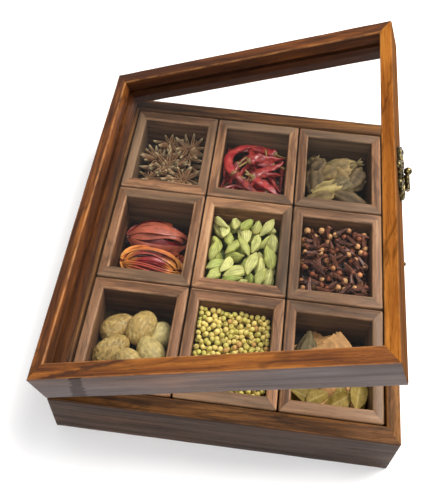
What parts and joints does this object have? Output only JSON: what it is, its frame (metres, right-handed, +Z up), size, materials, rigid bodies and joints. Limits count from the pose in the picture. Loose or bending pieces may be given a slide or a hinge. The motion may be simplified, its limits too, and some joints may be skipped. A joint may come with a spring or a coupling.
{
  "type": "wooden spice box",
  "caption": "Low wooden spice box with a hinged glass-topped lid, an antique brass hasp and lift-out rectangular wooden cups filled with whole spices.",
  "frame": {"origin": "centre of the underside of the case", "axes": "+Z up, +Y towards the back of the box, +X from the hinged side towards the latch side"},
  "size_m": [0.2146, 0.25, 0.1311],
  "materials": {
    "wood_case": "dark sheesham, satin",
    "wood_lid": "honey sheesham, satin",
    "wood_cup": "light sheesham, satin",
    "wood_panel": "plain, matt",
    "glass_pane": "clear",
    "old_brass": "antique, darkened",
    "steel_pin": "dulled",
    "spice_star_anise": "dry",
    "spice_red_chilli": "dry, slightly glossy",
    "spice_black_cardamom": "dry",
    "spice_mace": "dry",
    "spice_green_cardamom": "dry",
    "spice_clove": "dry",
    "spice_nutmeg": "dry",
    "spice_coriander": "dry",
    "spice_bark_and_leaf": "dry"
  },
  "bodies": {
    "case": {"case_front_board": "wood_case", "case_back_board": "wood_case", "case_left_board": "wood_case", "case_right_board": "wood_case", "case_bottom_panel": "wood_panel", "hinge_front_case_leaf": "old_brass", "hinge_front_pin": "steel_pin", "hinge_back_case_leaf": "old_brass", "hinge_back_pin": "steel_pin", "case_hinge_screws": "steel_pin", "catch_plate": "old_brass", "catch_nails": "old_brass", "catch_stud": "old_brass"},
    "lid": {"lid_front_rail": "wood_lid", "lid_back_rail": "wood_lid", "lid_left_rail": "wood_lid", "lid_right_rail": "wood_lid", "lid_glass": "glass_pane", "hinge_front_lid_leaf": "old_brass", "hinge_back_lid_leaf": "old_brass", "lid_hinge_screws": "steel_pin", "latch_plate": "old_brass", "latch_nails": "old_brass", "hasp_pin": "steel_pin"},
    "hasp": {"hasp": "old_brass"},
    "cup_front_left": {"cup_front_left_walls": "wood_cup", "cup_front_left_floor": "wood_panel", "spice_nutmeg": "spice_nutmeg"},
    "cup_front_mid": {"cup_front_mid_walls": "wood_cup", "cup_front_mid_floor": "wood_panel", "spice_coriander": "spice_coriander"},
    "cup_front_right": {"cup_front_right_walls": "wood_cup", "cup_front_right_floor": "wood_panel", "spice_bark_and_leaf": "spice_bark_and_leaf"},
    "cup_mid_left": {"cup_mid_left_walls": "wood_cup", "cup_mid_left_floor": "wood_panel", "spice_mace": "spice_mace"},
    "cup_mid_mid": {"cup_mid_mid_walls": "wood_cup", "cup_mid_mid_floor": "wood_panel", "spice_green_cardamom": "spice_green_cardamom"},
    "cup_mid_right": {"cup_mid_right_walls": "wood_cup", "cup_mid_right_floor": "wood_panel", "spice_clove": "spice_clove"},
    "cup_back_left": {"cup_back_left_walls": "wood_cup", "cup_back_left_floor": "wood_panel", "spice_star_anise": "spice_star_anise"},
    "cup_back_mid": {"cup_back_mid_walls": "wood_cup", "cup_back_mid_floor": "wood_panel", "spice_red_chilli": "spice_red_chilli"},
    "cup_back_right": {"cup_back_right_walls": "wood_cup", "cup_back_right_floor": "wood_panel", "spice_black_cardamom": "spice_black_cardamom"}
  },
  "joints": [
    {"name": "lid_hinge", "type": "hinge", "parent": "case", "child": "lid", "pos_m": [-0.1024, 0, 0.03815], "axis": [0, -1, 0], "range_deg": [-21, 84]},
    {"name": "hasp_hinge", "type": "hinge", "parent": "lid", "child": "hasp", "pos_m": [0.08892, 0, 0.114], "axis": [0, -1, 0], "range_deg": [-170.2, 0]},
    {"name": "cup_front_left_lift", "type": "slide", "parent": "case", "child": "cup_front_left", "axis": [0, 0, 1], "range_m": [0, 0.015]},
    {"name": "cup_front_mid_lift", "type": "slide", "parent": "case", "child": "cup_front_mid", "axis": [0, 0, 1], "range_m": [0, 0.038]},
    {"name": "cup_front_right_lift", "type": "slide", "parent": "case", "child": "cup_front_right", "axis": [0, 0, 1], "range_m": [0, 0.06]},
    {"name": "cup_mid_left_lift", "type": "slide", "parent": "case", "child": "cup_mid_left", "axis": [0, 0, 1], "range_m": [0, 0.015]},
    {"name": "cup_mid_mid_lift", "type": "slide", "parent": "case", "child": "cup_mid_mid", "axis": [0, 0, 1], "range_m": [0, 0.038]},
    {"name": "cup_mid_right_lift", "type": "slide", "parent": "case", "child": "cup_mid_right", "axis": [0, 0, 1], "range_m": [0, 0.06]},
    {"name": "cup_back_left_lift", "type": "slide", "parent": "case", "child": "cup_back_left", "axis": [0, 0, 1], "range_m": [0, 0.015]},
    {"name": "cup_back_mid_lift", "type": "slide", "parent": "case", "child": "cup_back_mid", "axis": [0, 0, 1], "range_m": [0, 0.038]},
    {"name": "cup_back_right_lift", "type": "slide", "parent": "case", "child": "cup_back_right", "axis": [0, 0, 1], "range_m": [0, 0.06]}
  ]
}
